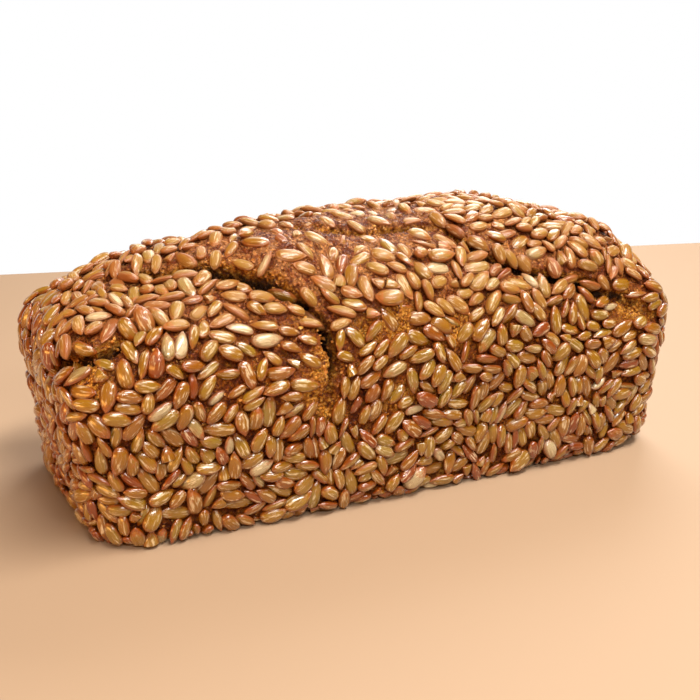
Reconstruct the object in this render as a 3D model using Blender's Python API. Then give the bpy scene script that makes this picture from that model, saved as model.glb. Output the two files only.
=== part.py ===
"""Tin-baked rye loaf rolled in sunflower kernels, one solid, in metres.

X runs along the loaf, -Y is the long side that shows best, +Z is up. The origin is under the
middle of the flat base. The crust is a block pulled to the form of a tapered tin with a domed
crown, then torn along the baking cracks. The largest kernels are joined to it.
"""

import math
import random

import bmesh
import bpy
import numpy as np
from mathutils import Matrix, Vector

# The tin gives the base and the rim, the oven gives the crown.
BASE_LENGTH, BASE_WIDTH, BASE_SHIFT = 0.2265, 0.0955, 0.0018
RIM_LENGTH, RIM_WIDTH = 0.238, 0.1035
RIM_HEIGHT, CROWN_HEIGHT = 0.053, 0.0955
CORNER_RADIUS, SHOULDER_RADIUS, BASE_RADIUS = 0.017, 0.009, 0.005
ROUNDER_END, ROUNDER_FROM, ROUNDER_OVER = 0.006, 0.080, 0.030
SIDE_BULGE = 0.002
CROWN_LEAN = 0.13
ALONG_POWER, ALONG_FULLNESS = 2.2, 0.4
ACROSS_POWER, ACROSS_FULLNESS = 2.2, 0.7
DOME_SLOPE = 0.8

# The block that is pulled in to the crust, and the core that it is pulled towards.
BLOCK = np.array([0.125, 0.058, 0.052])
CORE = np.array([0.080, 0.012, 0.012])
MIDDLE = np.array([0.0, 0.0, 0.050])
GRID_STEP = 0.0017
FURTHEST_PULL = 1.6
HALVINGS = 26

# Slow swells of the dough, as height, waves per metre along X, Y and Z, and phase.
SWELLS = (
    (0.0012, (9.0, 12.0, 8.0), 0.4),
    (0.0010, (-14.0, 9.0, 17.0), 2.1),
    (0.0006, (23.0, -31.0, 19.0), 4.4),
    (0.0003, (-41.0, -37.0, 29.0), 1.3),
)
WALL_SWELL = 0.45
FLAT_BELOW = 0.007
BASE_IS_UNDER = 0.000002

# Baking cracks as stations in millimetres: x, y, z, half width, depth, lift of the left lip and
# lift of the right lip, left and right as seen from outside by someone who walks along the crack.
CRACKS = (
    # The front left corner.
    ((-121, -6, 53, 1.5, 0.0, 0.0, 0.0), (-118, -18, 57, 2.6, 4.5, 1.4, 0.0),
     (-114, -33, 62, 3.2, 7.0, 2.4, 0.4), (-108, -38, 66, 3.4, 7.5, 2.8, 0.6),
     (-98, -38, 70, 2.8, 5.5, 2.0, 0.4), (-84, -38, 72, 2.2, 2.6, 1.2, 0.0),
     (-72, -39, 72, 1.5, 0.0, 0.0, 0.0)),
    # The main crack, along the top and then down the front.
    ((-98, 4, 80, 1.6, 0.0, 0.0, 0.0), (-88, -3, 83, 2.4, 3.5, 1.6, 0.0),
     (-77, -12, 84.5, 2.8, 5.0, 2.4, 0.0), (-65, -19, 85.5, 3.4, 8.0, 3.6, 0.0),
     (-55, -27, 84, 4.2, 12.0, 4.4, 0.0), (-45, -34.5, 80, 3.8, 11.0, 3.6, 0.8),
     (-37, -40, 75, 2.8, 9.5, 2.0, 1.8), (-32.5, -44.5, 69, 2.4, 10.0, 1.0, 2.4),
     (-32, -48, 62, 2.4, 10.0, 0.6, 2.6), (-32, -50, 54, 2.2, 7.5, 0.0, 2.2),
     (-33, -51, 46, 2.6, 3.0, 0.0, 1.2), (-36, -50, 37, 2.6, 0.0, 0.0, 0.0)),
    # Under the right cap.
    ((22, -15, 93, 1.5, 0.0, 0.0, 0.0), (27, -22, 92, 2.2, 2.6, 1.8, 0.0),
     (31, -29, 88, 2.6, 4.0, 2.6, 0.0), (37, -35, 83, 2.6, 4.5, 2.6, 0.0),
     (46, -38.5, 79.5, 2.8, 5.5, 2.4, 0.0), (57, -41, 76, 2.8, 5.0, 2.2, 0.0),
     (70, -43, 71.5, 3.0, 6.0, 2.4, 0.0), (84, -45, 66, 3.4, 4.5, 2.2, 0.0),
     (96, -47, 61, 3.8, 3.5, 1.6, 0.0), (106, -46, 54, 3.6, 2.2, 0.8, 0.0),
     (113, -39, 45, 3.0, 0.0, 0.0, 0.0)),
    # The ridge behind the bare middle.
    ((-46, -8, 88, 1.6, 0.0, 0.0, 0.0), (-30, -12, 90, 2.6, 2.0, 1.0, 0.0),
     (-12, -16, 91.5, 3.0, 2.6, 1.4, 0.0), (6, -19, 92, 3.0, 3.2, 1.8, 0.0),
     (17, -19, 92, 2.6, 2.8, 1.6, 0.0), (28, -20, 92, 1.6, 0.0, 0.0, 0.0)),
    # Two on the sides that the photo hides.
    ((84, 36, 74, 1.6, 0.0, 0.0, 0.0), (66, 40, 75, 2.6, 3.0, 0.0, 1.6),
     (44, 41, 77, 3.0, 5.0, 0.0, 2.4), (22, 43, 75, 3.0, 6.0, 0.0, 2.6),
     (2, 42, 77, 2.8, 5.0, 0.0, 2.2), (-20, 44, 72, 2.8, 4.5, 0.0, 2.0),
     (-38, 45, 67, 2.4, 3.0, 0.0, 1.2), (-50, 46, 61, 1.6, 0.0, 0.0, 0.0)),
    ((112, 30, 62, 1.6, 0.0, 0.0, 0.0), (115, 18, 65, 2.6, 3.5, 0.0, 1.6),
     (115, 4, 67, 3.0, 5.0, 0.0, 2.2), (116, -10, 64, 2.6, 3.5, 0.0, 1.4),
     (116, -20, 60, 1.6, 0.0, 0.0, 0.0)),
)
LIFT_REACH = 0.017
LIP_LEAN = 0.9
NEAR_WALL, NEAR_WALL_FROM = 0.4, 0.0015

# Sunflower kernels.
KERNEL_LENGTH, KERNEL_WIDTH, KERNEL_THICKNESS = 0.0104, 0.0054, 0.0050
KERNEL_SPREAD = 0.10
KERNEL_SIDES, KERNEL_RINGS = 6, 3
KERNEL_COUNT = 250
KERNEL_SPACING = 0.0130
KERNEL_PROUD = -0.0008
KERNEL_TILT = 0.10
KERNEL_CLEAR_OF_CRACK = 0.0055
KERNEL_LOWEST = 0.0055
DRAWS = 30000
CRUST_TRIANGLES = 2700

CRUST_COLOUR, CRUST_ROUGHNESS = (0.30, 0.13, 0.055, 1.0), 0.75
KERNEL_COLOUR, KERNEL_ROUGHNESS = (0.62, 0.40, 0.18, 1.0), 0.45


def clear_scene():
    for obj in list(bpy.data.objects):
        bpy.data.objects.remove(obj, do_unlink=True)


def make_material(name, colour, roughness):
    material = bpy.data.materials.new(name)
    material.use_nodes = True
    shader = material.node_tree.nodes["Principled BSDF"]
    shader.inputs["Base Color"].default_value = colour
    shader.inputs["Roughness"].default_value = roughness
    shader.inputs["Metallic"].default_value = 0.0
    return material


def crown_height(x, y):
    """Height of the domed top over the point x, y."""
    along = np.clip(np.abs(x) / (RIM_LENGTH / 2), 0, 1)
    across = np.clip(np.abs(y) / (RIM_WIDTH / 2), 0, 1)
    rise = (1 - along**ALONG_POWER) ** ALONG_FULLNESS
    rise = rise * (1 - across**ACROSS_POWER) ** ACROSS_FULLNESS
    lean = 1 + CROWN_LEAN * x / (RIM_LENGTH / 2)
    return RIM_HEIGHT + (CROWN_HEIGHT - RIM_HEIGHT) * rise * lean


def round_join(a, b, radius):
    """Distance outside the overlap of two solids whose shared edge is rounded."""
    beyond = np.hypot(np.maximum(a + radius, 0), np.maximum(b + radius, 0))
    return np.minimum(np.maximum(a, b), -radius) + beyond


def outside(p):
    """How far each point lies outside the plain loaf, below 0 inside it."""
    x, y, z = p[:, 0], p[:, 1], p[:, 2]
    up = np.clip(z / RIM_HEIGHT, 0, 1)
    half_length = (BASE_LENGTH + (RIM_LENGTH - BASE_LENGTH) * up) / 2
    half_width = (BASE_WIDTH + (RIM_WIDTH - BASE_WIDTH) * up) / 2
    half_width = half_width - SIDE_BULGE * (x / half_length) ** 2
    past_x = np.abs(x - BASE_SHIFT * (1 - up)) - (half_length - CORNER_RADIUS)
    past_y = np.abs(y) - (half_width - CORNER_RADIUS)
    walls = np.hypot(np.maximum(past_x, 0), np.maximum(past_y, 0))
    walls = walls + np.minimum(np.maximum(past_x, past_y), 0) - CORNER_RADIUS
    top = DOME_SLOPE * (z - crown_height(x, y))
    base_radius = BASE_RADIUS + ROUNDER_END * smooth_step((x - ROUNDER_FROM) / ROUNDER_OVER)
    return round_join(round_join(walls, top, SHOULDER_RADIUS), -z, base_radius)


def pull_to_crust(unit):
    """Moves points of the unit cube along straight lines to the plain loaf."""
    block = unit * BLOCK
    start = np.clip(block, -CORE, CORE)
    ray = block - start
    near, far = np.zeros(len(unit)), np.full(len(unit), FURTHEST_PULL)
    for _ in range(HALVINGS):
        half = (near + far) / 2
        out = outside(start + ray * half[:, None] + MIDDLE) > 0
        near, far = np.where(out, near, half), np.where(out, half, far)
    return start + ray * near[:, None] + MIDDLE


def crust_normals(p, step=0.0004):
    slopes = [outside(p + step * axis) - outside(p - step * axis) for axis in np.eye(3)]
    normals = np.stack(slopes, axis=-1)
    return normals / np.linalg.norm(normals, axis=1)[:, None]


def smooth_step(t):
    t = np.clip(t, 0, 1)
    return t * t * (3 - 2 * t)


def along_crack(p, stations):
    """Nearest point of a crack, its direction there, the gap to it and its values there."""
    best = np.full(len(p), np.inf)
    nearest, direction = np.zeros_like(p), np.zeros_like(p)
    values = np.zeros((len(p), stations.shape[1] - 3))
    for here, there in zip(stations[:-1], stations[1:]):
        way = there[:3] - here[:3]
        t = np.clip((p - here[:3]) @ way / (way @ way), 0, 1)
        foot = here[:3] + t[:, None] * way
        gap = np.linalg.norm(p - foot, axis=1)
        closer = gap < best
        best = np.where(closer, gap, best)
        nearest[closer], direction[closer] = foot[closer], way / np.linalg.norm(way)
        values[closer] = (here[3:] + t[:, None] * (there[3:] - here[3:]))[closer]
    return nearest, direction, best, values


def tear(p, normals, stations):
    """Shift of each crust point at one crack: sunk along it, raised and leaning over at its lip."""
    nearest, direction, gap, values = along_crack(p, stations)
    half_width, depth, left_lift, right_lift = values.T
    left = np.einsum("ij,ij->i", np.cross(normals, direction), p - nearest) > 0
    lift = np.where(left, left_lift, right_lift)
    other = np.where(left, right_lift, left_lift)
    steeper = 1 - NEAR_WALL * np.clip((other - lift) / NEAR_WALL_FROM, 0, 1)
    across = gap / np.maximum(half_width * steeper, 1e-4)
    groove = 1 / (1 + across**4)
    height = lift * (1 - groove) * np.exp(-gap / LIFT_REACH) - depth * groove
    towards = (nearest - p) / np.maximum(gap, 1e-6)[:, None]
    towards = towards - normals * np.einsum("ij,ij->i", towards, normals)[:, None]
    edge = np.exp(-((across - 1.6) ** 2))
    return normals * height[:, None] + towards * (edge * lift * LIP_LEAN)[:, None]


def crust_points(unit):
    """Points of the finished crust for points of the unit cube."""
    plain = pull_to_crust(unit)
    normals = crust_normals(plain)
    swell = sum(
        height * np.sin(2 * math.pi * (plain @ np.array(waves)) + phase)
        for height, waves, phase in SWELLS
    )
    on_top = smooth_step((plain[:, 2] - 0.045) / 0.02)
    shift = normals * (swell * (WALL_SWELL + (1 - WALL_SWELL) * on_top))[:, None]
    for crack in CRACKS:
        shift = shift + tear(plain, normals, np.array(crack) / 1000)
    points = plain + shift * smooth_step(plain[:, 2] / FLAT_BELOW)[:, None]
    points[points[:, 2] < BASE_IS_UNDER, 2] = 0.0
    return points


def block_mesh():
    """A cube whose faces are cut into even squares, as an unshaped block of dough."""
    mesh = bmesh.new()
    bmesh.ops.create_cube(mesh, size=2)
    for axis in range(3):
        along = [
            edge for edge in mesh.edges
            if abs(edge.verts[0].co[axis] - edge.verts[1].co[axis]) > 1
        ]
        cuts = round(2 * BLOCK[axis] / GRID_STEP) - 1
        bmesh.ops.subdivide_edges(mesh, edges=along, cuts=cuts, use_grid_fill=True)
    return mesh


def apply_modifiers(obj):
    """Replaces the object's mesh by the one that its modifiers make."""
    graph = bpy.context.evaluated_depsgraph_get()
    made = bpy.data.meshes.new_from_object(obj.evaluated_get(graph))
    obj.modifiers.clear()
    obj.data = made


def make_crust(collection, materials):
    mesh = block_mesh()
    points = crust_points(np.array([vert.co for vert in mesh.verts]))
    for vert, point in zip(mesh.verts, points):
        vert.co = point
    bmesh.ops.triangulate(mesh, faces=mesh.faces)
    bmesh.ops.recalc_face_normals(mesh, faces=mesh.faces)
    count = len(mesh.faces)
    data = bpy.data.meshes.new("loaf")
    mesh.to_mesh(data)
    mesh.free()
    for material in materials:
        data.materials.append(material)
    loaf = bpy.data.objects.new("loaf", data)
    collection.objects.link(loaf)
    fewer = loaf.modifiers.new("fewer_triangles", "DECIMATE")
    fewer.ratio = CRUST_TRIANGLES / count
    apply_modifiers(loaf)
    for vert in loaf.data.vertices:
        if vert.co.z < BASE_IS_UNDER:
            vert.co.z = 0.0
    return loaf


def random_on_block(draw):
    """A random point on the sides and top of the unit cube, and two directions along its side."""
    length, width, height = BLOCK
    areas = (width * height, width * height, length * height, length * height, length * width)
    side = draw.choices(range(5), weights=areas)[0]
    a, b = draw.uniform(-1, 1), draw.uniform(-1, 1)
    point = ((-1, a, b), (1, a, b), (a, -1, b), (a, 1, b), (a, b, 1))[side]
    ways = (((0, 0, 1), (0, 1, 0)), ((0, 1, 0), (0, 0, 1)), ((1, 0, 0), (0, 0, 1)),
            ((0, 0, 1), (1, 0, 0)), ((1, 0, 0), (0, 1, 0)))[side]
    return point, ways


def finished_normals(unit, ways, step=0.0012):
    """Outward directions of the finished crust, from its slope over a kernel's width."""
    one, two = ways[:, 0] * step / BLOCK, ways[:, 1] * step / BLOCK
    across = crust_points(unit + one) - crust_points(unit - one)
    upward = crust_points(unit + two) - crust_points(unit - two)
    normals = np.cross(across, upward)
    return normals / np.linalg.norm(normals, axis=1)[:, None]


def place_kernels():
    """Centres, outward directions and turns of kernels spread evenly and clear of the cracks."""
    draw = random.Random(11)
    places = [random_on_block(draw) for _ in range(DRAWS)]
    unit = np.array([point for point, _ in places])
    ways = np.array([way for _, way in places], dtype=float)
    turns = [draw.uniform(0, 2 * math.pi) for _ in range(DRAWS)]
    points = crust_points(unit)
    clear = points[:, 2] > KERNEL_LOWEST
    for crack in CRACKS:
        clear &= along_crack(points, np.array(crack) / 1000)[2] > KERNEL_CLEAR_OF_CRACK
    chosen, taken = [], np.empty((0, 3))
    for i in np.flatnonzero(clear):
        if len(chosen) == KERNEL_COUNT:
            break
        if len(taken) and np.linalg.norm(taken - points[i], axis=1).min() < KERNEL_SPACING:
            continue
        taken = np.vstack([taken, points[i]])
        chosen.append(i)
    normals = finished_normals(unit[chosen], ways[chosen])
    return [
        (Vector(points[i]), Vector(normal), turns[i]) for i, normal in zip(chosen, normals)
    ]


def kernel_width_at(t):
    """Width of a kernel at t along it, as a share: round at -1, pointed at 1."""
    return 1.0 - 0.16 * t - 0.34 * max(t, 0) ** 2


def make_kernel(name, collection, draw, material):
    """One kernel lying along X with its flat sides up and down."""
    mesh = bmesh.new()
    bmesh.ops.create_uvsphere(mesh, u_segments=KERNEL_SIDES, v_segments=KERNEL_RINGS, radius=1)
    bmesh.ops.rotate(mesh, verts=mesh.verts, matrix=Matrix.Rotation(math.pi / 2, 3, "Y"))
    size = draw.uniform(1 - KERNEL_SPREAD, 1 + KERNEL_SPREAD)
    for vert in mesh.verts:
        wide = kernel_width_at(vert.co.x)
        vert.co.x *= size * KERNEL_LENGTH / 2
        vert.co.y *= size * wide * KERNEL_WIDTH / 2
        vert.co.z *= size * wide * KERNEL_THICKNESS / 2
    data = bpy.data.meshes.new(name)
    mesh.to_mesh(data)
    mesh.free()
    data.materials.append(material)
    kernel = bpy.data.objects.new(name, data)
    collection.objects.link(kernel)
    return kernel


def lie_on_crust(kernel, point, normal, turn, draw):
    flat = normal.to_track_quat("Z", "Y").to_matrix().to_4x4()
    tilt = Matrix.Rotation(draw.uniform(-KERNEL_TILT, KERNEL_TILT), 4, "Y")
    spin = Matrix.Rotation(turn, 4, "Z")
    kernel.matrix_world = Matrix.Translation(point + normal * KERNEL_PROUD) @ flat @ spin @ tilt


def join_kernels(loaf, material):
    kernels = bpy.data.collections.new("kernels")
    bpy.context.scene.collection.children.link(kernels)
    draw = random.Random(23)
    for number, (point, normal, turn) in enumerate(place_kernels()):
        kernel = make_kernel(f"kernel_{number}", kernels, draw, material)
        lie_on_crust(kernel, point, normal, turn, draw)
    print("kernels joined:", len(kernels.objects))
    union = loaf.modifiers.new("kernels", "BOOLEAN")
    union.operation = "UNION"
    union.operand_type = "COLLECTION"
    union.collection = kernels
    union.solver = "EXACT"
    apply_modifiers(loaf)
    for kernel in list(kernels.objects):
        bpy.data.objects.remove(kernel, do_unlink=True)
    bpy.data.collections.remove(kernels)


def main():
    clear_scene()
    collection = bpy.data.collections.new("rye_loaf")
    bpy.context.scene.collection.children.link(collection)
    crust = make_material("baked_crust", CRUST_COLOUR, CRUST_ROUGHNESS)
    kernel = make_material("toasted_kernel", KERNEL_COLOUR, KERNEL_ROUGHNESS)
    loaf = make_crust(collection, (crust, kernel))
    join_kernels(loaf, kernel)
    print("triangles:", sum(len(face.vertices) - 2 for face in loaf.data.polygons))


main()
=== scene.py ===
# %% [markdown]
# # A rye loaf crusted with sunflower kernels
# The loaf was rolled in hulled kernels, baked in a tin and tore open along its top and front as it
# rose. This lesson dresses a plain solid of that loaf: a fine crust with its cracks, about 2,400
# single kernels lying on it, and loose crumbs. The solid sets the size and the place.

# %% Open the frame
import math
import random

import bmesh
import bpy
import numpy as np
from mathutils import Matrix, Vector, noise


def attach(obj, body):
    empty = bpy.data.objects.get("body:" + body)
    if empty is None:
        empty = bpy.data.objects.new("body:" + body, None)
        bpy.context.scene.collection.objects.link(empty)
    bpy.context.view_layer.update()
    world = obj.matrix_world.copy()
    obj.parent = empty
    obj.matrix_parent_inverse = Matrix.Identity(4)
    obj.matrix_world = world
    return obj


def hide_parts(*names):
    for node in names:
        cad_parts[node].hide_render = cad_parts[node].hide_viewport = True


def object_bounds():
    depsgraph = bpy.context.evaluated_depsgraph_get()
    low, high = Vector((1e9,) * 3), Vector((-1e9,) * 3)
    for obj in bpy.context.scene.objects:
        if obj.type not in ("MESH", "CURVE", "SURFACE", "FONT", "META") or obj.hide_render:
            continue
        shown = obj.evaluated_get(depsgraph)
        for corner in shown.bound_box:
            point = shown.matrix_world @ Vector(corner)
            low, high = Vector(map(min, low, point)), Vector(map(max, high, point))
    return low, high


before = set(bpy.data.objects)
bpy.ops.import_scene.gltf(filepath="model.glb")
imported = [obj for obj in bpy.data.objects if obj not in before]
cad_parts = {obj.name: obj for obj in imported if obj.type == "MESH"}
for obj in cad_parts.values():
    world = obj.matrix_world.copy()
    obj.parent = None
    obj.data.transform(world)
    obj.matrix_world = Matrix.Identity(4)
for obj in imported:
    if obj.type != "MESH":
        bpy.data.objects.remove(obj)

solid_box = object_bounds()

# %% [markdown]
# ## Camera
# The picture was taken from a little above, facing one long side and looking along it. A camera
# could be turned by trial, but here it was worked out from the loaf's outline, so the numbers are
# a place, a point that it looks at, a small roll and a lens.

# %% Camera
CAMERA_PLACE = Vector((-0.1816, -0.3709, 0.1732))
LOOKS_AT = Vector((0.0524, 0.1098, 0.0021))
CAMERA_ROLL = math.radians(0.14)
LENS = 57.6


def facing(place, target, roll=0.0):
    turn = (target - place).to_track_quat("-Z", "Y").to_matrix().to_4x4()
    return Matrix.Translation(place) @ turn @ Matrix.Rotation(roll, 4, "Z")


camera = bpy.data.objects.new("camera", bpy.data.cameras.new("camera"))
camera.data.lens = LENS
camera.data.sensor_width = 36.0
camera.matrix_world = facing(CAMERA_PLACE, LOOKS_AT, CAMERA_ROLL)
bpy.context.collection.objects.link(camera)
bpy.context.scene.camera = camera
print("camera at", tuple(CAMERA_PLACE))

# %% [markdown]
# ## Light
# Bread looks right in wide, soft light from above that leaves one clear glint on every kernel. A
# sky picture could give that, but a few area lights are easier to set: a long window above, one
# behind for the bright rim of the crown, a weak one in front, and a small orange one low at the
# left, for the warm light that comes up from under a loaf. The Standard view keeps the browns as
# rich as they are mixed.

# %% Light
LIGHTS = (
    # name, place, what it faces, width, depth, watts, colour
    ("window_above", (0.20, -0.30, 0.84), (0, 0, 0.05), 0.80, 0.16, 13.0, (1.0, 0.96, 0.90)),
    ("window_behind", (0.48, 0.58, 0.60), (0, 0, 0.06), 0.50, 0.50, 7.0, (1.0, 0.97, 0.93)),
    ("window_front", (-0.20, -0.72, 0.55), (0, 0, 0.05), 0.50, 0.08, 3.9, (1.0, 0.99, 0.97)),
    ("low_glow", (-0.62, -0.16, 0.06), (-0.12, 0, 0.04), 0.40, 0.10, 1.7, (1.0, 0.47, 0.11)),
)


def soft_light(name, place, target, width, depth, watts, colour):
    lamp = bpy.data.lights.new(name, "AREA")
    lamp.shape = "RECTANGLE"
    lamp.size, lamp.size_y = width, depth
    lamp.energy = watts
    lamp.color = colour
    light = bpy.data.objects.new(name, lamp)
    light.matrix_world = facing(Vector(place), Vector(target))
    bpy.context.collection.objects.link(light)


for given in LIGHTS:
    soft_light(*given)
bpy.context.scene.view_settings.view_transform = "Standard"
print("lights:", [given[0] for given in LIGHTS])

# %% [markdown]
# ## Room
# The air behind the loaf is plain white, but glossy kernels mirror all that is around them, and in
# a room that is white all round they look grey. So the world is white only where it is seen behind
# the loaf, and fades to a warm brown everywhere else. The dot product of a view's direction with
# one that points behind the loaf says how far to fade.

# %% Room
BEHIND_LOAF = (0.42, 0.85, -0.30)
ROOM = ((0.50, (0.22, 0.135, 0.065, 1)), (0.82, (1.0, 1.0, 1.0, 1)))

world = bpy.data.worlds.new("white_room")
world.use_nodes = True
air = world.node_tree
towards_back = air.nodes.new("ShaderNodeVectorMath")
towards_back.operation = "DOT_PRODUCT"
towards_back.inputs[1].default_value = BEHIND_LOAF
brightness = air.nodes.new("ShaderNodeValToRGB")
for element, (at, colour) in zip(brightness.color_ramp.elements, ROOM):
    element.position = at
    element.color = colour
view = air.nodes.new("ShaderNodeTexCoord").outputs["Generated"]
air.links.new(view, towards_back.inputs[0])
air.links.new(towards_back.outputs["Value"], brightness.inputs["Fac"])
air.links.new(brightness.outputs["Color"], air.nodes["Background"].inputs["Color"])
bpy.context.scene.world = world
print("room fades from", ROOM[0][1][:3], "to", ROOM[1][1][:3])

# %% [markdown]
# ## Floor
# The loaf stands on a plain sheet. A floor without an end would show no edge, but here one is seen
# behind the loaf, so the sheet ends there, turned a little so that its far edge rises to the right.
# Its colour is a mild tan: a whiter one would throw so much light up that the kernels look grey.

# %% Floor
FLOOR_REACH, FLOOR_FORWARD = 0.75, 0.425
FLOOR_TURN = math.radians(-14)
FLOOR_COLOUR, FLOOR_ROUGHNESS = (0.40, 0.27, 0.17, 1), 0.7

sheet = bmesh.new()
bmesh.ops.create_grid(sheet, x_segments=2, y_segments=2, size=FLOOR_REACH)
floor_data = bpy.data.meshes.new("floor")
sheet.to_mesh(floor_data)
sheet.free()
floor = bpy.data.objects.new("floor", floor_data)
turned = Matrix.Rotation(FLOOR_TURN, 4, "Z")
floor.matrix_world = turned @ Matrix.Translation((0, -FLOOR_FORWARD, 0))
bpy.context.collection.objects.link(floor)
pale_floor = bpy.data.materials.new("pale_floor")
pale_floor.use_nodes = True
floor_shader = pale_floor.node_tree.nodes["Principled BSDF"]
floor_shader.inputs["Base Color"].default_value = FLOOR_COLOUR
floor_shader.inputs["Roughness"].default_value = FLOOR_ROUGHNESS
floor_data.materials.append(pale_floor)
print("floor:", 2 * FLOOR_REACH, "m square")

# %% [markdown]
# ## The shape that the tin gave
# The loaf is a tapered tin shape with rounded corners and a domed top. It could be sculpted, but a
# short rule is exact and can be asked anything: `outside` says how far a point lies outside the
# plain loaf. The crust, the kernels and the crumbs all use this one rule, so they fit each other.

# %% The plain loaf as a rule
BASE_LENGTH, BASE_WIDTH, BASE_SHIFT = 0.2265, 0.0955, 0.0018
RIM_LENGTH, RIM_WIDTH = 0.238, 0.1035
RIM_HEIGHT, CROWN_HEIGHT = 0.053, 0.0955
CORNER_RADIUS, SHOULDER_RADIUS, BASE_RADIUS = 0.017, 0.009, 0.005
ROUNDER_END, ROUNDER_FROM, ROUNDER_OVER = 0.006, 0.080, 0.030
SIDE_BULGE = 0.002
CROWN_LEAN = 0.13
SLOPE_STEP = 0.0004


def smooth_step(t):
    t = np.clip(t, 0, 1)
    return t * t * (3 - 2 * t)


def crown_height(x, y):
    along = np.clip(np.abs(x) / (RIM_LENGTH / 2), 0, 1)
    across = np.clip(np.abs(y) / (RIM_WIDTH / 2), 0, 1)
    rise = (1 - along**2.2) ** 0.4 * (1 - across**2.2) ** 0.7
    lean = 1 + CROWN_LEAN * x / (RIM_LENGTH / 2)
    return RIM_HEIGHT + (CROWN_HEIGHT - RIM_HEIGHT) * rise * lean


def round_join(a, b, radius):
    beyond = np.hypot(np.maximum(a + radius, 0), np.maximum(b + radius, 0))
    return np.minimum(np.maximum(a, b), -radius) + beyond


def outside(p):
    x, y, z = p[:, 0], p[:, 1], p[:, 2]
    up = np.clip(z / RIM_HEIGHT, 0, 1)
    half_length = (BASE_LENGTH + (RIM_LENGTH - BASE_LENGTH) * up) / 2
    half_width = (BASE_WIDTH + (RIM_WIDTH - BASE_WIDTH) * up) / 2
    half_width = half_width - SIDE_BULGE * (x / half_length) ** 2
    past_x = np.abs(x - BASE_SHIFT * (1 - up)) - (half_length - CORNER_RADIUS)
    past_y = np.abs(y) - (half_width - CORNER_RADIUS)
    walls = np.hypot(np.maximum(past_x, 0), np.maximum(past_y, 0))
    walls = walls + np.minimum(np.maximum(past_x, past_y), 0) - CORNER_RADIUS
    top = 0.8 * (z - crown_height(x, y))
    base_radius = BASE_RADIUS + ROUNDER_END * smooth_step((x - ROUNDER_FROM) / ROUNDER_OVER)
    return round_join(round_join(walls, top, SHOULDER_RADIUS), -z, base_radius)


def crust_slopes(p):
    slopes = [outside(p + SLOPE_STEP * axis) - outside(p - SLOPE_STEP * axis) for axis in np.eye(3)]
    return np.stack(slopes, axis=-1)


def crust_normals(p):
    slopes = crust_slopes(p)
    return slopes / np.linalg.norm(slopes, axis=1)[:, None]


print("crown over the middle: %.1f mm" % (1000 * crown_height(np.zeros(1), np.zeros(1))[0]))

# %% [markdown]
# ## From a block to the crust
# A cube whose faces are cut into small squares is wrapped onto the loaf: each of its points runs
# along a straight line from the loaf's core until it meets the rule's surface. Halving the gap
# again and again finds that place, and keeps the squares even.

# %% Wrap a block onto the loaf
BLOCK = np.array([0.125, 0.058, 0.052])
CORE = np.array([0.080, 0.012, 0.012])
MIDDLE = np.array([0.0, 0.0, 0.050])


def pull_to_crust(unit):
    block = unit * BLOCK
    start = np.clip(block, -CORE, CORE)
    ray = block - start
    near, far = np.zeros(len(unit)), np.full(len(unit), 1.6)
    for _ in range(26):
        half = (near + far) / 2
        out = outside(start + ray * half[:, None] + MIDDLE) > 0
        near, far = np.where(out, near, half), np.where(out, half, far)
    return start + ray * near[:, None] + MIDDLE


top_middle = pull_to_crust(np.array([[0.0, 0.0, 1.0]]))
print("the block's top middle lands at", top_middle.round(4).tolist())

# %% [markdown]
# ## The baking cracks
# As the crumb rose, the set crust tore. One side of each tear was lifted and leans over the gap.
# A Boolean cut would leave sharp walls, so each tear is a line of stations instead, and every crust
# point near it is sunk, raised or pushed over by how far it lies from that line. A station holds
# x, y, z, half width, depth, and the lift of the left and right lips, all in millimetres.

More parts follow.
